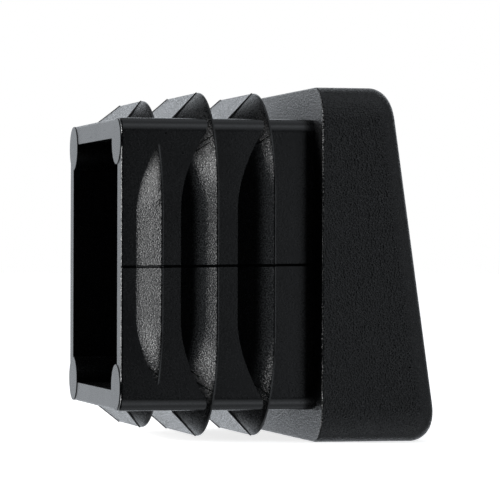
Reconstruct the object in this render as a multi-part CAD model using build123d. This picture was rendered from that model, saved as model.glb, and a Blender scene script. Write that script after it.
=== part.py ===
from build123d import *
import os
from math import radians, tan

# Push-in end cap for a square tube whose leg stands at a slant.
# Millimetres. X runs along the tube: the plug points to -X and the head lies at +X.
# Z points to the thin side of the wedge. The origin is the middle of the shoulder,
# the face that the cut end of the tube meets.

# The tube that the cap closes
tube_width = 40.0
tube_wall = 1.5
tube_corner_radius = 4.0

# The plug, a square box that is open at its free end
plug_length = 22.2
plug_clearance = 2.1
plug_wall = 2.2
plug_corner_radius = 1.6
mouth_edge_radius = 0.25

# The round column that stiffens each corner, and its pad, a little proud of the rim
column_radius = 2.6
pad_height = 0.1

# The gripping lips, each placed by the distance of its back from the shoulder
lip_stations = (5.2, 11.7)
lip_grip = 1.1
lip_corner_radius = 11.5
flank_angle = 43.0
crest_land = 0.25

# The lead lip, nearest the free end, which guides the plug into the tube
lead_lip_station = 17.8
lead_lip_grip = 0.15
lead_lip_corner_radius = 12.4

# The foot of a lip's flank, on the plug: half of what stays straight on the two sides
# that the parting line crosses, and on the top and bottom
side_root_flat = 6.2
top_root_flat = 10.5
lead_side_root_flat = 5.5
lead_top_root_flat = 10.2

# The head, a wedge with the slanted face outwards
head_thickness = 11.2
slant_angle = 8.0
head_edge_radius = 2.5
shoulder_edge_radius = 0.2
floor_thickness = 3.0

# Sizes that follow from those above
tube_bore = tube_width - 2 * tube_wall
plug_half = tube_bore / 2 - plug_clearance
cavity_half = plug_half - plug_wall
column_place = plug_half - column_radius
head_half = tube_width / 2
slant = tan(radians(slant_angle))
flank = tan(radians(flank_angle))


def rounded_section(half, radius, x):
    """A square across the tube's axis, with round corners."""
    return Plane.YZ.offset(x) * RectangleRounded(2 * half, 2 * half, radius)


def lip_section(half, side_flat, top_flat, x):
    """A square across the tube's axis, whose corner arcs leave its left and right sides
    smoothly and meet the straight part of its top and bottom."""
    quarter = [
        Line((half, 0), (half, side_flat)),
        TangentArc((half, side_flat), (top_flat, half), tangent=(0, 1)),
        Line((top_flat, half), (0, half)),
    ]
    upper = quarter + [mirror(edge, about=Plane.YZ) for edge in quarter]
    outline = upper + [mirror(edge, about=Plane.XZ) for edge in upper]
    return Plane.YZ.offset(x) * make_face(Curve() + outline)


def side_profile(points, half_width):
    """A solid with the given outline in the XZ plane, equally far to both sides of it."""
    outline = Plane.XZ * make_face(Polyline(*points, close=True))
    return extrude(outline, half_width, both=True)


def lip(station, grip, corner_radius, side_flat, top_flat):
    """Flanks that rise towards the shoulder up to a narrow land, with a square back."""
    half = tube_bore / 2 + grip
    crest = -station - crest_land
    root = crest - (half - plug_half) / flank
    crest_flat = half - corner_radius
    low = lip_section(plug_half, side_flat, top_flat, root)
    high = lip_section(half, crest_flat, crest_flat, crest)
    return loft([low.face(), high.face()], ruled=True) + extrude(high, crest_land)


def plug():
    """The box with its lips, still without its cavity."""
    box = extrude(rounded_section(plug_half, plug_corner_radius, -plug_length), plug_length)
    box = fillet(box.faces().sort_by(Axis.X)[0].edges(), mouth_edge_radius)
    for station in lip_stations:
        box += lip(station, lip_grip, lip_corner_radius, side_root_flat, top_root_flat)
    return box + lip(
        lead_lip_station,
        lead_lip_grip,
        lead_lip_corner_radius,
        lead_side_root_flat,
        lead_top_root_flat,
    )


def head():
    """The wedge, flush with the tube outside and rounded along its outer edges."""
    thick = head_thickness + head_half * slant
    thin = head_thickness - head_half * slant
    block = extrude(rounded_section(head_half, tube_corner_radius, 0), thick)
    wedge = side_profile(
        [(0, head_half), (thin, head_half), (thick, -head_half), (0, -head_half)],
        head_half,
    )
    body = block & wedge
    body = fillet(body.faces().sort_by(Axis.X)[-1].edges(), head_edge_radius)
    return fillet(body.faces().sort_by(Axis.X)[0].edges(), shoulder_edge_radius)


def cavity():
    """The space inside, which ends a floor's thickness short of the slanted face."""
    end = head_thickness - floor_thickness
    return side_profile(
        [
            (-plug_length, cavity_half),
            (end - cavity_half * slant, cavity_half),
            (end + cavity_half * slant, -cavity_half),
            (-plug_length, -cavity_half),
        ],
        cavity_half,
    )


def columns():
    """Round columns in the four corners, from their pads on the rim down to the head."""
    corners = GridLocations(2 * column_place, 2 * column_place, 2, 2)
    pads = Plane.YZ.offset(-plug_length - pad_height) * corners * Circle(column_radius)
    return extrude(Sketch() + pads, pad_height + plug_length)


end_cap = plug() + head() - cavity() + columns()

os.makedirs("parts", exist_ok=True)
export_step(end_cap, "parts/end_cap.step")
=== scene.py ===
import math

import bmesh
import bpy
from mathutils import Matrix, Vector
from mathutils.bvhtree import BVHTree


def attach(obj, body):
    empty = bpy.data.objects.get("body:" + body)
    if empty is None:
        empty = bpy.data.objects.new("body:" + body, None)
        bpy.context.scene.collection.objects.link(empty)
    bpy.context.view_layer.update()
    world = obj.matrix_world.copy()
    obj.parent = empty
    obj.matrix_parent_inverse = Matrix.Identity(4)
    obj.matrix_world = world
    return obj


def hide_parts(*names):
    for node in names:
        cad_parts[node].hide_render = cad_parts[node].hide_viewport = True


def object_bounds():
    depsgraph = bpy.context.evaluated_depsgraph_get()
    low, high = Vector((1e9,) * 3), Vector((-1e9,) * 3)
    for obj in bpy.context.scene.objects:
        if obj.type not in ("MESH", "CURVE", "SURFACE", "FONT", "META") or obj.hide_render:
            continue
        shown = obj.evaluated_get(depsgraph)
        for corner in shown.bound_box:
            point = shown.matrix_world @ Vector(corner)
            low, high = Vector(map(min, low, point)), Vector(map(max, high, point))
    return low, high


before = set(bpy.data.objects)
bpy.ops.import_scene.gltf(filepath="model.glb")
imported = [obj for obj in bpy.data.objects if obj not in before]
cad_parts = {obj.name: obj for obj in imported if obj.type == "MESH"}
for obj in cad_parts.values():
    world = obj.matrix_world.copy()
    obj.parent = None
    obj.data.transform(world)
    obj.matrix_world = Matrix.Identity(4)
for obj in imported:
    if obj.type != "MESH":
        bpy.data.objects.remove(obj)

bl_info = {
    "name": "Slanted tube end cap",
    "version": (1, 0, 0),
    "blender": (4, 5, 0),
    "location": "View3D > Sidebar > End cap",
    "description": "Dresses a moulded end cap for square tube and sets up its studio",
    "category": "Add Mesh",
}

CAD_NODE = "end_cap"
CAD_LOW, CAD_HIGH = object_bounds()

# Where the plug's outside ends: past its rim, short of the shoulder, and beyond the cavity
RIM = -0.0221
SHOULDER = -0.00001
OUTSIDE = 0.0155
CAVITY_HALF = 0.01425

# How far out the lips begin, and where the back of the lead lip ends
ON_LIP = 0.0166
LEAD_LIP_BACK = -0.01775

# The stretch of the walls where the parting line's strip of painted shade is faint, and its
# shares of the full width there and elsewhere
SEAM_FAINT = (-0.0207, -0.0023)
FAINT_SHARE = 0.3
BOLD_SHARE = 0.9

# How finely the parting line is cut before its width is set, and each line's step
SEAM_CUTS = 20
LINE_STEP = 0.0001

# How many parts a witness line is drawn over the skin in
LINE_PARTS = 8

# How near to the shoulder's plane a face still counts as the shoulder, and how far a
# face's normal leans to the tube's axis on the lips' flanks, from the least to the most
SHOULDER_SLACK = 0.00005
LEAN = (0.3, 0.95)

# How far a mark may lie off the skin before it is drawn on it
LINE_REACH = 0.002
PINHOLE_REACH = 0.001


# Properties


class BodySettings(bpy.types.PropertyGroup):
    edge_round: bpy.props.FloatProperty(
        name="Edge round",
        description="Radius that the mould leaves on every outer edge",
        default=0.00006, min=0.0, unit="LENGTH", precision=5,
    )
    edge_angle: bpy.props.FloatProperty(
        name="Edge angle",
        description="Edges sharper than this are rounded",
        default=math.radians(22), subtype="ANGLE",
    )
    head_grain: bpy.props.FloatProperty(
        name="Head grain", description="Strength of the spark texture on the head",
        default=1.0, min=0.0, max=4.0,
    )
    flank_grain: bpy.props.FloatProperty(
        name="Lip grain", description="Strength of the spark texture on the lips' flanks",
        default=1.0, min=0.0, max=4.0,
    )
    wall_grain: bpy.props.FloatProperty(
        name="Wall grain", description="Strength of the spark texture on the plug's walls",
        default=0.18, min=0.0, max=4.0,
    )


class PlasticSettings(bpy.types.PropertyGroup):
    colour: bpy.props.FloatVectorProperty(
        name="Plastic", description="Colour of the moulded polyethylene",
        default=(0.0022, 0.0024, 0.0027), min=0.0, max=1.0, subtype="COLOR",
    )
    roughness: bpy.props.FloatProperty(
        name="Roughness", description="Gloss of the smooth walls, 0 is a mirror",
        default=0.24, min=0.0, max=1.0, subtype="FACTOR",
    )
    grain_size: bpy.props.FloatProperty(
        name="Grain size", description="Width of one pit of the spark texture",
        default=0.00016, min=0.00005, unit="LENGTH", precision=5,
    )
    grain_depth: bpy.props.FloatProperty(
        name="Grain depth", description="Depth of the spark texture",
        default=0.00004, min=0.0, unit="LENGTH", precision=5,
    )
    grain_gloss: bpy.props.FloatProperty(
        name="Grain gloss", description="How much the grain changes the roughness",
        default=1.3, min=0.0, max=4.0,
    )
    pit_share: bpy.props.FloatProperty(
        name="Head pits", description="Height of the head's cellular pits, in grain depths",
        default=1.7, min=0.0, max=4.0,
    )
    drag_share: bpy.props.FloatProperty(
        name="Drag lines", description="Height of the lines drawn on leaving the mould, "
        "in grain depths",
        default=0.3, min=0.0, max=4.0,
    )


class SeamSettings(bpy.types.PropertyGroup):
    level: bpy.props.FloatProperty(
        name="Seam level", description="Height of the mould's parting plane at the rim",
        default=-0.00029, unit="LENGTH", precision=5,
    )
    tilt: bpy.props.FloatProperty(
        name="Seam tilt", description="Rise of the parting plane towards the head",
        default=math.radians(0.75), subtype="ANGLE",
    )
    # The seam's width is that of a strip of painted groove shade
    width: bpy.props.FloatProperty(
        name="Seam width", description="Width of the dull skin along the parting line",
        default=0.00031, min=0.00002, unit="LENGTH", precision=5,
    )
    ridge: bpy.props.FloatProperty(
        name="Seam ridge", description="Width of the raised bead on the lead lip",
        default=0.00013, min=0.00002, unit="LENGTH", precision=5,
    )


class WitnessSettings(bpy.types.PropertyGroup):
    width: bpy.props.FloatProperty(
        name="Witness line width", description="Width of the insert lines on the flanks",
        default=0.00013, min=0.00002, unit="LENGTH", precision=5,
    )
    spacing: bpy.props.FloatProperty(
        name="Witness line spacing",
        description="Distance from a crease to the ridge beside it, in line widths",
        default=1.2, min=0.0,
    )


class MarkSettings(bpy.types.PropertyGroup):
    radius: bpy.props.FloatProperty(
        name="Pit radius", description="Radius of a pinhole in the moulded skin",
        default=0.00008, min=0.00002, unit="LENGTH", precision=5,
    )
    depth: bpy.props.FloatProperty(
        name="Pit depth", description="Height of a pinhole's dark dish",
        default=0.000015, min=0.0, unit="LENGTH", precision=6,
    )


class StudioSettings(bpy.types.PropertyGroup):
    floor_size: bpy.props.FloatProperty(
        name="Floor size", description="Side of the square floor",
        default=6.0, min=0.2, unit="LENGTH",
    )
    strip_light: bpy.props.FloatProperty(
        name="Strip softbox", description="Power of the tall softbox beside the open end",
        default=7.5, min=0.0, unit="POWER",
    )
    wall_level: bpy.props.FloatProperty(
        name="Wall level", description="Brightness of the white wall behind the object",
        default=0.80, min=0.0, max=3.0,
    )
    fill_level: bpy.props.FloatProperty(
        name="Fill level", description="Brightness of the fill panels on the head's side",
        default=0.95, min=0.0, max=3.0,
    )
    room_level: bpy.props.FloatProperty(
        name="Room level", description="Brightness of the ceiling and of its twin below",
        default=0.30, min=0.0, max=1.0, subtype="FACTOR",
    )
    tint: bpy.props.FloatVectorProperty(
        name="Tint", description="Cast of the panels' light, a little cool",
        default=(0.95, 1.0, 1.06), min=0.0, max=2.0, subtype="COLOR",
    )


class EndCapSettings(bpy.types.PropertyGroup):
    body: bpy.props.PointerProperty(type=BodySettings)
    plastic: bpy.props.PointerProperty(type=PlasticSettings)
    seam: bpy.props.PointerProperty(type=SeamSettings)
    witness: bpy.props.PointerProperty(type=WitnessSettings)
    marks: bpy.props.PointerProperty(type=MarkSettings)
    studio: bpy.props.PointerProperty(type=StudioSettings)


# Node helpers


def add_node(tree, kind, **settings):
    """A new node, placed to the right of the last one."""
    made = tree.nodes.new(kind)
    made.location = (220 * (len(tree.nodes) - 1), 0)
    for name, value in settings.items():
        setattr(made, name, value)
    return made


def maths(tree, operation, first, second):
    """A Math node on two sockets or numbers."""
    made = add_node(tree, "ShaderNodeMath", operation=operation)
    for socket, value in zip(made.inputs, (first, second)):
        plug_in(tree, value, socket)
    return made.outputs[0]


def plug_in(tree, value, socket):
    """Links a socket, or sets a plain value."""
    if isinstance(value, bpy.types.NodeSocket):
        tree.links.new(value, socket)
    else:
        socket.default_value = value


def new_geometry_tree(name, inputs):
    """A geometry tree with the named inputs. Returns the tree, its input and output nodes."""
    tree = bpy.data.node_groups.new(name, "GeometryNodeTree")
    tree.is_modifier = True
    tree.interface.new_socket("Geometry", in_out="INPUT", socket_type="NodeSocketGeometry")
    for label, kind in inputs:
        tree.interface.new_socket(label, in_out="INPUT", socket_type=kind)
    tree.interface.new_socket("Geometry", in_out="OUTPUT", socket_type="NodeSocketGeometry")
    return tree, add_node(tree, "NodeGroupInput"), tree.nodes.new("NodeGroupOutput")


def finish_tree(tree, geometry, material, group_out):
    """Ends a tree in Realize Instances and Set Material."""
    real = add_node(tree, "GeometryNodeRealizeInstances")
    coat = add_node(tree, "GeometryNodeSetMaterial")
    tree.links.new(geometry, real.inputs[0])
    tree.links.new(real.outputs[0], coat.inputs["Geometry"])
    tree.links.new(material, coat.inputs["Material"])
    tree.links.new(coat.outputs[0], group_out.inputs[0])
    group_out.location = (220 * len(tree.nodes), 0)


def set_inputs(modifier, values):
    """Sets a modifier's inputs, found by their names, through their identifiers."""
    for item in modifier.node_group.interface.items_tree:
        if item.in_out == "INPUT" and item.name in values:
            modifier[item.identifier] = values[item.name]


def baked(source, name):
    """The evaluated object as a plain mesh object without modifiers."""
    bpy.context.view_layer.update()
    seen = source.evaluated_get(bpy.context.evaluated_depsgraph_get())
    mesh = bpy.data.meshes.new_from_object(seen)
    mesh.name = name
    source.modifiers.clear()
    bpy.data.objects.remove(source)
    if not mesh.polygons:
        raise RuntimeError(f"{name} came out empty")
    made = bpy.data.objects.new(name, mesh)
    bpy.context.scene.collection.objects.link(made)
    return made


def object_from(bm, name):
    """A linked object from a bmesh, which is freed."""
    mesh = bpy.data.meshes.new(name)
    bm.to_mesh(mesh)
    bm.free()
    made = bpy.data.objects.new(name, mesh)
    bpy.context.scene.collection.objects.link(made)
    return made


# Materials


# The plastic's patterns: the spark texture's cells to one of the head's pits, the mean
# height of that texture, the fine lines' frequency along, across and up, and the frequency
# of the slow change in tone and gloss, in cycles to the metre
PITS_TO_SPARK = 0.8
SPARK_MEAN = 0.45
DRAG_LINES = (40.0, 1900.0, 40.0)
CLOUDS = 160.0
CLOUD_TONE = (0.7, 1.3)
CLOUD_GLOSS = 0.05


def moulded_plastic(plastic):
    """Black polyethylene: smooth walls, spark texture where the grain attribute says so,
    and fine drag lines along the way that the part leaves its mould."""
    material = bpy.data.materials.new("moulded_plastic")
    material.use_nodes = True
    tree = material.node_tree
    shader = tree.nodes["Principled BSDF"]
    shader.inputs["IOR"].default_value = 1.5
    place = add_node(tree, "ShaderNodeTexCoord").outputs["Object"]
    grain = add_node(tree, "ShaderNodeAttribute", attribute_name="grain").outputs["Fac"]
    head = add_node(tree, "ShaderNodeAttribute", attribute_name="head").outputs["Fac"]
    flank = add_node(tree, "ShaderNodeAttribute", attribute_name="flank").outputs["Fac"]

    spark = add_node(tree, "ShaderNodeTexNoise")
    spark.inputs["Scale"].default_value = 1.0 / plastic.grain_size
    spark.inputs["Detail"].default_value = 2.0
    spark.inputs["Roughness"].default_value = 0.6
    tree.links.new(place, spark.inputs["Vector"])

    pits = add_node(tree, "ShaderNodeTexVoronoi")
    pits.inputs["Scale"].default_value = PITS_TO_SPARK / plastic.grain_size
    tree.links.new(place, pits.inputs["Vector"])

    stretch = add_node(tree, "ShaderNodeMapping")
    stretch.inputs["Scale"].default_value = DRAG_LINES
    tree.links.new(place, stretch.inputs["Vector"])
    drag = add_node(tree, "ShaderNodeTexNoise")
    drag.inputs["Scale"].default_value = 1.0
    drag.inputs["Detail"].default_value = 3.0
    tree.links.new(stretch.outputs[0], drag.inputs["Vector"])

    cloud = add_node(tree, "ShaderNodeTexNoise")
    cloud.inputs["Scale"].default_value = CLOUDS
    cloud.inputs["Detail"].default_value = 4.0
    tree.links.new(place, cloud.inputs["Vector"])

    tone = add_node(tree, "ShaderNodeMapRange")
    tone.inputs["To Min"].default_value, tone.inputs["To Max"].default_value = CLOUD_TONE
    tree.links.new(cloud.outputs["Fac"], tone.inputs["Value"])
    tint = add_node(tree, "ShaderNodeVectorMath", operation="SCALE")
    tint.inputs[0].default_value = tuple(plastic.colour)
    tree.links.new(tone.outputs[0], tint.inputs["Scale"])
    tree.links.new(tint.outputs[0], shader.inputs["Base Color"])

    sheen = add_node(tree, "ShaderNodeMapRange")
    sheen.inputs["To Min"].default_value = plastic.roughness - CLOUD_GLOSS
    sheen.inputs["To Max"].default_value = plastic.roughness + CLOUD_GLOSS
    tree.links.new(cloud.outputs["Fac"], sheen.inputs["Value"])
    above_mean = maths(tree, "SUBTRACT", spark.outputs["Fac"], SPARK_MEAN)
    uneven = maths(tree, "MULTIPLY", above_mean, plastic.grain_gloss)
    matt = maths(tree, "MULTIPLY", uneven, maths(tree, "MINIMUM", grain, 1.0))
    tree.links.new(maths(tree, "ADD", sheen.outputs[0], matt), shader.inputs["Roughness"])

    sparked = maths(tree, "MULTIPLY", spark.outputs["Fac"], grain)
    in_pits = maths(tree, "MULTIPLY", head, plastic.pit_share)
    pitted = maths(
        tree, "ADD", sparked, maths(tree, "MULTIPLY", pits.outputs["Distance"], in_pits)
    )
    in_drag = maths(tree, "MULTIPLY", flank, plastic.drag_share)
    dragged = maths(tree, "MULTIPLY", drag.outputs["Fac"], in_drag)
    relief = add_node(tree, "ShaderNodeBump")
    relief.inputs["Strength"].default_value = 1.0
    relief.inputs["Distance"].default_value = plastic.grain_depth
    tree.links.new(maths(tree, "ADD", pitted, dragged), relief.inputs["Height"])
    tree.links.new(relief.outputs[0], shader.inputs["Normal"])
    return material


def groove_shade_plastic():
    """Painted groove shade: a dull skin with its colour and reflection turned down, laid along
    the mould's joints and in its pinholes where grooves and pits would be in shade.
    """
    material = bpy.data.materials.new("joint_and_pit_shade")
    material.use_nodes = True
    tree = material.node_tree
    shader = tree.nodes["Principled BSDF"]
    # Painted shade: the low reflection and near-black colour make these strips read as the shade
    # in grooves and pits
    shader.inputs["Specular IOR Level"].default_value = 0.04
    place = add_node(tree, "ShaderNodeTexCoord").outputs["Object"]
    ragged = add_node(tree, "ShaderNodeTexNoise")
    ragged.inputs["Scale"].default_value = 1800.0
    tree.links.new(place, ragged.inputs["Vector"])
    tone = add_node(tree, "ShaderNodeMapRange")
    tone.inputs["To Min"].default_value = 0.0
    tone.inputs["To Max"].default_value = 0.002
    tree.links.new(ragged.outputs["Fac"], tone.inputs["Value"])
    tree.links.new(tone.outputs[0], shader.inputs["Base Color"])
    rough = add_node(tree, "ShaderNodeMapRange")
    rough.inputs["To Min"].default_value = 0.7
    rough.inputs["To Max"].default_value = 0.9
    tree.links.new(ragged.outputs["Fac"], rough.inputs["Value"])
    tree.links.new(rough.outputs[0], shader.inputs["Roughness"])
    return material


def named_material(name, maker, *values):
    """The material of that name, made the first time that it is asked for."""
    return bpy.data.materials.get(name) or maker(*values)


# Geometry trees


def skin_tree():
    """Marks how much grain each face carries, which faces are the head's, and which are
    the flanks on the top and bottom."""
    tree, group_in, group_out = new_geometry_tree("Moulded skin", [
        ("Head grain", "NodeSocketFloat"),
        ("Flank grain", "NodeSocketFloat"),
        ("Wall grain", "NodeSocketFloat"),
        ("Plastic", "NodeSocketMaterial"),
    ])
    place = add_node(tree, "ShaderNodeSeparateXYZ")
    facing = add_node(tree, "ShaderNodeSeparateXYZ")
    tree.links.new(add_node(tree, "GeometryNodeInputPosition").outputs[0], place.inputs[0])
    tree.links.new(add_node(tree, "GeometryNodeInputNormal").outputs[0], facing.inputs[0])
    along = maths(tree, "ABSOLUTE", facing.outputs["X"], 0.0)
    upright = maths(tree, "ABSOLUTE", facing.outputs["Z"], 0.0)
    across = maths(
        tree, "MAXIMUM",
        maths(tree, "ABSOLUTE", place.outputs["Y"], 0.0),
        maths(tree, "ABSOLUTE", place.outputs["Z"], 0.0),
    )
    outside = maths(
        tree, "MAXIMUM",
        maths(tree, "GREATER_THAN", across, CAVITY_HALF),
        maths(tree, "GREATER_THAN", facing.outputs["X"], 0.5),
    )
    past_shoulder = maths(tree, "GREATER_THAN", place.outputs["X"], SHOULDER_SLACK)
    from_shoulder = maths(tree, "ABSOLUTE", place.outputs["X"], 0.0)
    shoulder = maths(tree, "LESS_THAN", from_shoulder, SHOULDER_SLACK)
    on_head = maths(
        tree, "MAXIMUM", maths(tree, "MULTIPLY", past_shoulder, outside), shoulder
    )
    leans = maths(
        tree, "MULTIPLY",
        maths(tree, "GREATER_THAN", along, LEAN[0]), maths(tree, "LESS_THAN", along, LEAN[1]),
    )
    on_flank = maths(tree, "MULTIPLY", leans, maths(tree, "SUBTRACT", 1.0, on_head))
    up_flank = maths(tree, "MULTIPLY", on_flank, maths(tree, "GREATER_THAN", upright, 0.6))

    plug_grain = add_node(tree, "ShaderNodeMix")
    tree.links.new(on_flank, plug_grain.inputs["Factor"])
    tree.links.new(group_in.outputs["Wall grain"], plug_grain.inputs["A"])
    tree.links.new(group_in.outputs["Flank grain"], plug_grain.inputs["B"])
    all_grain = add_node(tree, "ShaderNodeMix")
    tree.links.new(on_head, all_grain.inputs["Factor"])
    tree.links.new(plug_grain.outputs["Result"], all_grain.inputs["A"])
    tree.links.new(group_in.outputs["Head grain"], all_grain.inputs["B"])

    geometry = group_in.outputs["Geometry"]
    for label, value in (
        ("grain", all_grain.outputs["Result"]), ("head", on_head), ("flank", up_flank),
    ):
        store = add_node(
            tree, "GeometryNodeStoreNamedAttribute", data_type="FLOAT", domain="FACE"
        )
        store.inputs["Name"].default_value = label
        tree.links.new(geometry, store.inputs["Geometry"])
        tree.links.new(value, store.inputs["Value"])
        geometry = store.outputs[0]
    finish_tree(tree, geometry, group_in.outputs["Plastic"], group_out)
    return tree


def line_tree():
    """Turns the edges that it is given into a ragged bead along them, which can be flat."""
    tree, group_in, group_out = new_geometry_tree("Moulded line", [
        ("Width", "NodeSocketFloat"),
        ("Flatness", "NodeSocketFloat"),
        ("Ragged", "NodeSocketFloat"),
        ("Step", "NodeSocketFloat"),
        ("Skin", "NodeSocketMaterial"),
    ])
    path = add_node(tree, "GeometryNodeMeshToCurve")
    even = add_node(tree, "GeometryNodeResampleCurve", mode="LENGTH")
    upright = add_node(tree, "GeometryNodeSetCurveNormal", mode="Z_UP")
    swell = add_node(tree, "GeometryNodeSetCurveRadius")
    uneven = add_node(tree, "ShaderNodeTexNoise")
    uneven.inputs["Scale"].default_value = 2600.0
    uneven.inputs["Detail"].default_value = 1.0
    profile = add_node(tree, "GeometryNodeCurvePrimitiveCircle")
    profile.inputs["Resolution"].default_value = 8
    squash = add_node(tree, "ShaderNodeCombineXYZ")
    squash.inputs["Y"].default_value = 1.0
    squash.inputs["Z"].default_value = 1.0
    flat = add_node(tree, "GeometryNodeTransform")
    bead = add_node(tree, "GeometryNodeCurveToMesh")
    bead.inputs["Fill Caps"].default_value = True
    smooth = add_node(tree, "GeometryNodeSetShadeSmooth")
    share = add_node(tree, "GeometryNodeInputNamedAttribute", data_type="FLOAT")
    share.inputs["Name"].default_value = "weight"
    half = maths(tree, "MULTIPLY", group_in.outputs["Width"], 0.5)
    wobble = maths(tree, "MULTIPLY", maths(tree, "SUBTRACT", uneven.outputs["Fac"], 0.5), 2.0)
    radius = maths(tree, "ADD", maths(tree, "MULTIPLY", wobble, group_in.outputs["Ragged"]), 1.0)
    tree.links.new(group_in.outputs["Geometry"], path.inputs["Mesh"])
    tree.links.new(path.outputs[0], even.inputs["Curve"])
    tree.links.new(group_in.outputs["Step"], even.inputs["Length"])
    tree.links.new(even.outputs[0], upright.inputs["Curve"])
    tree.links.new(upright.outputs[0], swell.inputs["Curve"])
    weighed = maths(tree, "MULTIPLY", radius, share.outputs["Attribute"])
    tree.links.new(weighed, swell.inputs["Radius"])
    tree.links.new(half, profile.inputs["Radius"])
    tree.links.new(group_in.outputs["Flatness"], squash.inputs["X"])
    tree.links.new(profile.outputs["Curve"], flat.inputs["Geometry"])
    tree.links.new(squash.outputs[0], flat.inputs["Scale"])
    tree.links.new(swell.outputs[0], bead.inputs["Curve"])
    tree.links.new(flat.outputs[0], bead.inputs["Profile Curve"])
    tree.links.new(bead.outputs[0], smooth.inputs["Geometry"])
    finish_tree(tree, smooth.outputs[0], group_in.outputs["Skin"], group_out)
    return tree


def pit_tree():
    """Puts a shallow dish of darkened skin on each point, turned to the point's normal: painted
    shade in a pinhole.
    """
    tree, group_in, group_out = new_geometry_tree("Pinholes", [
        ("Radius", "NodeSocketFloat"),
        ("Depth", "NodeSocketFloat"),
        ("Seed", "NodeSocketInt"),
        ("Skin", "NodeSocketMaterial"),
    ])
    dish = add_node(tree, "GeometryNodeMeshUVSphere")
    dish.inputs["Segments"].default_value = 12
    dish.inputs["Rings"].default_value = 6
    flatten = add_node(tree, "ShaderNodeCombineXYZ")
    squashed = add_node(tree, "GeometryNodeTransform")
    normal = add_node(tree, "GeometryNodeInputNamedAttribute", data_type="FLOAT_VECTOR")
    normal.inputs["Name"].default_value = "out"
    turn = add_node(tree, "FunctionNodeAlignRotationToVector", axis="Z")
    spread = add_node(tree, "FunctionNodeRandomValue", data_type="FLOAT")
    spread.inputs[2].default_value = 0.6
    spread.inputs[3].default_value = 1.25
    place = add_node(tree, "GeometryNodeInstanceOnPoints")
    tree.links.new(group_in.outputs["Radius"], dish.inputs["Radius"])
    flat = maths(tree, "DIVIDE", group_in.outputs["Depth"], group_in.outputs["Radius"])
    flatten.inputs["X"].default_value = 1.0
    flatten.inputs["Y"].default_value = 1.0
    tree.links.new(flat, flatten.inputs["Z"])
    tree.links.new(dish.outputs["Mesh"], squashed.inputs["Geometry"])
    tree.links.new(flatten.outputs[0], squashed.inputs["Scale"])
    tree.links.new(normal.outputs["Attribute"], turn.inputs["Vector"])
    tree.links.new(group_in.outputs["Seed"], spread.inputs["Seed"])
    tree.links.new(group_in.outputs["Geometry"], place.inputs["Points"])
    tree.links.new(squashed.outputs[0], place.inputs["Instance"])
    tree.links.new(turn.outputs[0], place.inputs["Rotation"])
    tree.links.new(spread.outputs[1], place.inputs["Scale"])
    finish_tree(tree, place.outputs[0], group_in.outputs["Skin"], group_out)
    return tree


# Pieces


def merged_copy():
    """The node's mesh as one closed skin, with its flat faces in one piece each."""
    bm = bmesh.new()
    bm.from_mesh(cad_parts[CAD_NODE].data)
    bmesh.ops.remove_doubles(bm, verts=bm.verts, dist=1e-6)
    if any(not edge.is_manifold for edge in bm.edges):
        raise RuntimeError("the moulded body isn't a closed skin")
    bmesh.ops.dissolve_limit(
        bm, angle_limit=math.radians(0.2), verts=bm.verts, edges=bm.edges
    )
    return bm


def skin_search():
    """A search tree of the cap's skin."""
    bm = merged_copy()
    tree = BVHTree.FromBMesh(bm)
    bm.free()
    return tree


def on_skin(tree, points, reach):
    """The nearest places on the cap's skin to some points."""
    places = [tree.find_nearest(Vector(point), reach)[0] for point in points]
    if None in places:
        raise RuntimeError("a mark lies off the cap's skin")
    return places


class ENDCAP_OT_body(bpy.types.Operator):
    """Build the one-piece moulding with softened edges and its two finishes"""

    bl_idname = "endcap.body"
    bl_label = "Moulded body"
    bl_options = {"REGISTER", "UNDO"}

    def execute(self, context):
        settings = context.scene.end_cap
        bm = merged_copy()
        corners = [
            edge for edge in bm.edges
            if edge.is_convex and edge.calc_face_angle() > settings.body.edge_angle
        ]
        bmesh.ops.bevel(
            bm, geom=corners, offset=settings.body.edge_round, offset_type="OFFSET",
            segments=2, profile=0.5, affect="EDGES", clamp_overlap=False,
        )
        for face in bm.faces:
            face.smooth = True
        for edge in bm.edges:
            edge.smooth = edge.is_manifold and edge.calc_face_angle() < math.radians(33)
        source = object_from(bm, "moulding_source")

        skin = source.modifiers.new("Moulded skin", "NODES")
        skin.node_group = skin_tree()
        set_inputs(skin, {
            "Head grain": settings.body.head_grain,
            "Flank grain": settings.body.flank_grain,
            "Wall grain": settings.body.wall_grain,
            "Plastic": named_material("moulded_plastic", moulded_plastic, settings.plastic),
        })
        shade = source.modifiers.new("Flat faces stay flat", "WEIGHTED_NORMAL")
        shade.keep_sharp = True
        moulding = baked(source, "moulded_body")
        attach(moulding, "root")
        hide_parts(CAD_NODE)
        return {"FINISHED"}


class ENDCAP_OT_seam(bpy.types.Operator):
    """Run the mould's parting line along both sides of the plug and over its lips: a flat strip
    of painted groove shade, with a bright bead on the lead lip
    """

    bl_idname = "endcap.seam"
    bl_label = "Parting line"
    bl_options = {"REGISTER", "UNDO"}

    def execute(self, context):
        settings = context.scene.end_cap
        dull = named_material("joint_and_pit_shade", groove_shade_plastic)
        bright = named_material("moulded_plastic", moulded_plastic, settings.plastic)
        line = seam_path(settings.seam, OUTSIDE, SHOULDER)
        # Painted shade: the flat strip is dark with the shade of the groove along the mould's
        # joint
        make_line(
            context, line, "parting_line", settings.seam.width, dull,
            flatness=0.12, ragged=0.5,
        )
        ridge = seam_path(settings.seam, ON_LIP, LEAD_LIP_BACK)
        make_line(
            context, ridge, "parting_ridge", settings.seam.ridge, bright,
            flatness=0.8, ragged=0.35,
        )
        return {"FINISHED"}


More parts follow.
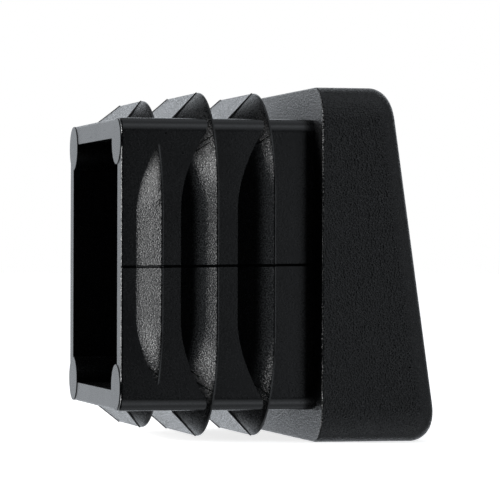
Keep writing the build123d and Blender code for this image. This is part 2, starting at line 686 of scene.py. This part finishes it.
def seam_path(seam, past, end):
    """Where the parting plane cuts what stands further out than past, from the rim to end.
    The line is narrower on the walls than on the lips and at both ends of the plug."""
    bm = merged_copy()
    cut = bmesh.ops.bisect_plane(
        bm, geom=bm.verts[:] + bm.edges[:] + bm.faces[:],
        plane_co=(CAD_LOW.x, 0, seam.level), plane_no=(-math.tan(seam.tilt), 0, 1),
    )
    kept = set()
    for item in cut["geom_cut"]:
        if isinstance(item, bmesh.types.BMEdge):
            middle = sum((vert.co for vert in item.verts), Vector()) / 2
            if abs(middle.y) > past and RIM < middle.x < end:
                kept.add(item)
    bmesh.ops.delete(bm, geom=bm.faces[:], context="FACES_ONLY")
    bmesh.ops.delete(bm, geom=[edge for edge in bm.edges if edge not in kept], context="EDGES")
    loose = [vert for vert in bm.verts if not vert.link_edges]
    bmesh.ops.delete(bm, geom=loose, context="VERTS")
    bmesh.ops.subdivide_edges(bm, edges=bm.edges[:], cuts=SEAM_CUTS)
    weight = bm.verts.layers.float.new("weight")
    for vert in bm.verts:
        faint = abs(vert.co.y) < ON_LIP and SEAM_FAINT[0] < vert.co.x < SEAM_FAINT[1]
        vert[weight] = FAINT_SHARE if faint else BOLD_SHARE
    return bm


def make_line(context, bm, name, width, skin, flatness, ragged):
    """A bead along a bmesh's edges, riding on the cap. Flatness is its height and ragged
    how much its width wanders, both as shares of its width."""
    source = object_from(bm, name + "_path")
    line = source.modifiers.new("Moulded line", "NODES")
    line.node_group = bpy.data.node_groups.get("Moulded line") or line_tree()
    set_inputs(line, {
        "Width": width,
        "Flatness": flatness,
        "Ragged": ragged,
        "Step": LINE_STEP,
        "Skin": skin,
    })
    made = baked(source, name)
    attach(made, "root")


# Lines that the mould's inserts leave where they meet on a lip's flank, drawn dark with painted
# shade: where each starts at the foot of the flank and where it ends towards the crest
FLANK_LINES = (
    ((-0.01353, -0.01640, -0.01322), (-0.01200, -0.01795, -0.01424)),
    ((-0.01419, -0.01640, -0.01192), (-0.01320, -0.01680, -0.01248)),
    ((-0.00690, -0.01640, -0.01347), (-0.00560, -0.01740, -0.01442)),
    ((-0.01306, -0.01640, 0.01346), (-0.01200, -0.01759, 0.01443)),
    ((-0.01366, -0.01640, 0.01266), (-0.01240, -0.01776, 0.01372)),
    ((-0.00656, -0.01640, 0.01346), (-0.00550, -0.01759, 0.01443)),
    ((-0.01884, -0.01640, -0.01150), (-0.01810, -0.01700, -0.01230)),
)

# The creases between the flat top of each lip and its round corners, from foot to crest; dark
# lines of painted shade go on and beyond them
CREASES = (
    ((-0.02046, -0.01020, 0.01640), (-0.01805, -0.00625, 0.01865)),
    ((-0.01538, -0.01050, 0.01640), (-0.01195, -0.00810, 0.01960)),
    ((-0.00888, -0.01050, 0.01640), (-0.00545, -0.00810, 0.01960)),
)


def mirrored(lines, sides, shift=0.0):
    """The lines moved outwards across the tube by a shift, then mirrored to each side."""
    return [
        [(x, (y - shift) * across, z * up) for x, y, z in line]
        for across, up in sides for line in lines
    ]


def drawn_on_skin(lines):
    """A bmesh of edges that follow the lines over the cap's skin."""
    tree = skin_search()
    bm = bmesh.new()
    weight = bm.verts.layers.float.new("weight")
    for start, end in lines:
        start, end = Vector(start), Vector(end)
        steps = [start.lerp(end, step / LINE_PARTS) for step in range(LINE_PARTS + 1)]
        verts = [bm.verts.new(place) for place in on_skin(tree, steps, LINE_REACH)]
        for vert in verts:
            vert[weight] = 1.0
        for first, second in zip(verts, verts[1:]):
            bm.edges.new((first, second))
    return bm


class ENDCAP_OT_witness(bpy.types.Operator):
    """Draw the lines that the mould's inserts leave on the lips' corners and creases: dark
    strips of painted shade, with a bright ridge beside each crease
    """

    bl_idname = "endcap.witness"
    bl_label = "Witness lines"
    bl_options = {"REGISTER", "UNDO"}

    def execute(self, context):
        settings = context.scene.end_cap
        width = settings.witness.width
        spacing = settings.witness.spacing * width
        dull = named_material("joint_and_pit_shade", groove_shade_plastic)
        bright = named_material("moulded_plastic", moulded_plastic, settings.plastic)
        sides = ((1, 1), (-1, 1))
        quarters = sides + ((1, -1), (-1, -1))
        flanks = mirrored(FLANK_LINES, sides)
        creases = mirrored(CREASES, quarters)
        beside = mirrored(CREASES, quarters, shift=spacing)
        beyond = mirrored(CREASES, quarters, shift=2 * spacing)
        # Painted shade: dark strips on the insert lines, on each crease and two spacings out
        # from it
        lines = drawn_on_skin(flanks + creases + beyond)
        make_line(context, lines, "witness_lines", width, dull, flatness=1.0, ragged=0.3)
        ridges = drawn_on_skin(beside)
        make_line(context, ridges, "crease_ridges", width, bright, flatness=1.0, ragged=0.2)
        return {"FINISHED"}


# Pinholes in the skin, drawn as dark dishes of painted shade: a point near each, and the way
# that the skin faces there
PINHOLES = (
    ((-0.01712, -0.01640, 0.01464), (0, -1, 0)),
    ((-0.01518, -0.01640, 0.01243), (0, -1, 0)),
    ((-0.02220, 0.00250, 0.01478), (-1, 0, 0)),
    ((0.00835, -0.02000, -0.00900), (0, -1, 0)),
    ((0.01020, -0.02000, -0.01150), (0, -1, 0)),
    ((-0.00350, 0.01640, 0.00620), (0, 1, 0)),
    ((0.00540, 0.02000, -0.00730), (0, 1, 0)),
)


class ENDCAP_OT_marks(bpy.types.Operator):
    """Scatter the few pinholes that the moulding shows, as dark dishes of painted shade"""

    bl_idname = "endcap.marks"
    bl_label = "Pinholes"
    bl_options = {"REGISTER", "UNDO"}

    def execute(self, context):
        settings = context.scene.end_cap
        mesh = bpy.data.meshes.new("pinhole_points")
        places = on_skin(skin_search(), [near for near, _ in PINHOLES], PINHOLE_REACH)
        mesh.from_pydata(places, [], [])
        out = mesh.attributes.new("out", "FLOAT_VECTOR", "POINT")
        for item, (_, facing) in zip(out.data, PINHOLES):
            item.vector = facing
        source = bpy.data.objects.new("pinhole_points", mesh)
        context.scene.collection.objects.link(source)
        pits = source.modifiers.new("Pinholes", "NODES")
        pits.node_group = pit_tree()
        set_inputs(pits, {
            "Radius": settings.marks.radius,
            "Depth": settings.marks.depth,
            "Seed": 3,
            # Painted shade: the dishes take the darkened skin, for the shade inside the pits
            "Skin": named_material("joint_and_pit_shade", groove_shade_plastic),
        })
        made = baked(source, "pinholes")
        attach(made, "root")
        return {"FINISHED"}


# Studio


def floor_paper():
    """White paper that keeps the object's shadow and shows plain white in gloss."""
    material = bpy.data.materials.new("floor_paper")
    material.use_nodes = True
    tree = material.node_tree
    tree.nodes.clear()
    light = add_node(tree, "ShaderNodeLightPath")
    paper = add_node(tree, "ShaderNodeBsdfDiffuse")
    paper.inputs["Color"].default_value = (0.9, 0.9, 0.9, 1.0)
    shine = add_node(tree, "ShaderNodeEmission")
    shine.inputs["Strength"].default_value = 1.0
    glow = add_node(tree, "ShaderNodeEmission")
    glow.inputs["Strength"].default_value = 0.8
    lift = add_node(tree, "ShaderNodeAddShader")
    tree.links.new(paper.outputs[0], lift.inputs[0])
    tree.links.new(glow.outputs[0], lift.inputs[1])
    seen = add_node(tree, "ShaderNodeMixShader")
    tree.links.new(light.outputs["Is Camera Ray"], seen.inputs["Fac"])
    tree.links.new(paper.outputs[0], seen.inputs[1])
    tree.links.new(lift.outputs[0], seen.inputs[2])
    mirrored = add_node(tree, "ShaderNodeMixShader")
    glossy = maths(
        tree, "MAXIMUM", light.outputs["Is Glossy Ray"], light.outputs["Is Transmission Ray"]
    )
    tree.links.new(glossy, mirrored.inputs["Fac"])
    tree.links.new(seen.outputs[0], mirrored.inputs[1])
    tree.links.new(shine.outputs[0], mirrored.inputs[2])
    out = add_node(tree, "ShaderNodeOutputMaterial")
    tree.links.new(mirrored.outputs[0], out.inputs["Surface"])
    return material


def panel(tree, angles, spans, level):
    """A soft-edged bright panel on the far walls of the room. Each span gives where the
    panel starts and ends in turn and in height, and how soft its edge is, in degrees."""
    light = level
    for angle, (low, high, soft) in zip(angles, spans):
        for edge, inwards in ((low, 1), (high, -1)):
            fade = add_node(tree, "ShaderNodeMapRange", interpolation_type="SMOOTHSTEP")
            fade.inputs["From Min"].default_value = math.radians(edge - inwards * soft / 2)
            fade.inputs["From Max"].default_value = math.radians(edge + inwards * soft / 2)
            tree.links.new(angle, fade.inputs["Value"])
            light = maths(tree, "MULTIPLY", fade.outputs[0], light)
    return light


# The soft panels round the object. Each has where it starts and ends in turn and how soft
# that edge is, the same in height, in degrees, and its share of the named level. A turn of
# 0 is beyond the open end, 90 is behind the object, and the last two are alike on both sides.
TURNED_PANELS = (
    ((22, 128, 26), (-90, 15, 14), "wall_level", 0.9),
    ((66, 128, 20), (6, 32, 12), "wall_level", 1.05),
    ((18, 34, 14), (-90, 18, 10), "wall_level", 3.0),
    ((-16, 4, 11), (-90, 28, 14), "wall_level", 1.5),
    ((-140, -112, 14), (14, 66, 20), "fill_level", 0.45),
    ((-128, -109, 14), (-90, 12, 16), "fill_level", 1.75),
    ((-125, -80, 20), (26, 66, 20), "fill_level", 0.6),
)
PAIRED_PANELS = (
    ((148, 200, 16), (-90, 50, 20), "fill_level", 0.3),
    ((60, 200, 20), (48, 100, 24), "room_level", 1.5),
)


def room_light(world, studio):
    """A white wall behind the object, a bright panel by its open end, fill panels on the
    head's side and a dim ceiling, alike above and below the object. The camera sees plain
    white past the object."""
    world.use_nodes = True
    tree = world.node_tree
    tree.nodes.clear()
    ray = add_node(tree, "ShaderNodeLightPath")
    place = add_node(tree, "ShaderNodeTexCoord")
    split = add_node(tree, "ShaderNodeSeparateXYZ")
    tree.links.new(place.outputs["Generated"], split.inputs[0])
    x, y, z = (split.outputs[axis] for axis in "XYZ")
    turn = maths(tree, "ARCTAN2", y, maths(tree, "MULTIPLY", x, -1.0))
    height = maths(tree, "ARCSINE", z, 0.0)
    sideways = maths(tree, "ABSOLUTE", turn, 0.0)
    steep = maths(tree, "ABSOLUTE", height, 0.0)
    level = 0.0
    for angle, panels in ((turn, TURNED_PANELS), (sideways, PAIRED_PANELS)):
        for across, upwards, name, share in panels:
            bright = getattr(studio, name) * share
            light = panel(tree, (angle, steep), (across, upwards), bright)
            level = maths(tree, "ADD", light, level)
    seen = add_node(tree, "ShaderNodeMix")
    tree.links.new(ray.outputs["Is Camera Ray"], seen.inputs["Factor"])
    tree.links.new(level, seen.inputs["A"])
    seen.inputs["B"].default_value = 1.0
    cast = add_node(tree, "ShaderNodeMix", data_type="RGBA")
    tree.links.new(ray.outputs["Is Camera Ray"], cast.inputs["Factor"])
    lit, seen_past = (item for item in cast.inputs if item.type == "RGBA")
    lit.default_value = (*studio.tint, 1.0)
    seen_past.default_value = (1.0, 1.0, 1.0, 1.0)
    room = add_node(tree, "ShaderNodeBackground")
    colour = next(item for item in cast.outputs if item.type == "RGBA")
    tree.links.new(colour, room.inputs["Color"])
    tree.links.new(seen.outputs["Result"], room.inputs["Strength"])
    out = add_node(tree, "ShaderNodeOutputWorld")
    tree.links.new(room.outputs[0], out.inputs["Surface"])


# Where the strip softbox stands and how wide and high it is, and the camera that was
# solved from the photo, its turn in degrees
STRIP_PLACE = (-0.592, 0.083, 0.0)
STRIP_SIZE = (0.23, 0.56)
CAMERA_PLACE = (-0.0903132, -0.3745814, 0.0011964)
CAMERA_TURN = (90.069, -0.169, -13.0232)
CAMERA_LENS = 235.93


def softbox(name, place, size, power):
    """An area lamp that faces the object and stays out of the picture."""
    data = bpy.data.lights.new(name, "AREA")
    data.shape = "RECTANGLE"
    data.size, data.size_y = size
    data.energy = power
    lamp = bpy.data.objects.new(name, data)
    lamp.location = place
    lamp.rotation_euler = (-Vector(place)).to_track_quat("-Z", "Y").to_euler()
    lamp.visible_camera = False
    bpy.context.scene.collection.objects.link(lamp)


class ENDCAP_OT_stage(bpy.types.Operator):
    """Set up the floor, the soft light and the camera"""

    bl_idname = "endcap.stage"
    bl_label = "Studio"
    bl_options = {"REGISTER", "UNDO"}

    def execute(self, context):
        scene = context.scene
        studio = scene.end_cap.studio

        bm = bmesh.new()
        bmesh.ops.create_grid(bm, x_segments=8, y_segments=8, size=studio.floor_size / 2)
        bmesh.ops.translate(bm, verts=bm.verts, vec=(0, 0, CAD_LOW.z))
        floor = object_from(bm, "floor")
        floor.data.materials.append(floor_paper())
        floor.visible_glossy = False

        scene.world = scene.world or bpy.data.worlds.new("room")
        room_light(scene.world, studio)
        softbox("strip_softbox", STRIP_PLACE, STRIP_SIZE, studio.strip_light)

        camera = bpy.data.objects.new("camera", bpy.data.cameras.new("camera"))
        camera.data.sensor_width = 36.0
        camera.data.lens = CAMERA_LENS
        camera.data.clip_start = 0.01
        camera.data.clip_end = 20.0
        camera.location = CAMERA_PLACE
        camera.rotation_euler = [math.radians(turn) for turn in CAMERA_TURN]
        scene.collection.objects.link(camera)
        scene.camera = camera
        scene.view_settings.view_transform = "Standard"
        return {"FINISHED"}


class ENDCAP_PT_panel(bpy.types.Panel):
    """Sizes, finishes and steps of the end cap"""

    bl_idname = "ENDCAP_PT_panel"
    bl_label = "Slanted tube end cap"
    bl_space_type = "VIEW_3D"
    bl_region_type = "UI"
    bl_category = "End cap"

    def draw(self, context):
        settings = context.scene.end_cap
        for operator, groups in STEPS:
            box = self.layout.box()
            box.operator(operator)
            for part in (getattr(settings, group) for group in groups):
                for name in part.bl_rna.properties.keys():
                    if name not in {"rna_type", "name"}:
                        box.prop(part, name)


STEPS = (
    ("endcap.body", ("body", "plastic")),
    ("endcap.seam", ("seam",)),
    ("endcap.witness", ("witness",)),
    ("endcap.marks", ("marks",)),
    ("endcap.stage", ("studio",)),
)

CLASSES = (
    BodySettings,
    PlasticSettings,
    SeamSettings,
    WitnessSettings,
    MarkSettings,
    StudioSettings,
    EndCapSettings,
    ENDCAP_OT_body,
    ENDCAP_OT_seam,
    ENDCAP_OT_witness,
    ENDCAP_OT_marks,
    ENDCAP_OT_stage,
    ENDCAP_PT_panel,
)


def register():
    for cls in CLASSES:
        bpy.utils.register_class(cls)
    bpy.types.Scene.end_cap = bpy.props.PointerProperty(type=EndCapSettings)


def unregister():
    del bpy.types.Scene.end_cap
    for cls in reversed(CLASSES):
        bpy.utils.unregister_class(cls)


def main():
    register()
    bpy.ops.endcap.body()
    bpy.ops.endcap.seam()
    bpy.ops.endcap.witness()
    bpy.ops.endcap.marks()
    bpy.ops.endcap.stage()


if __name__ == "__main__":
    main()
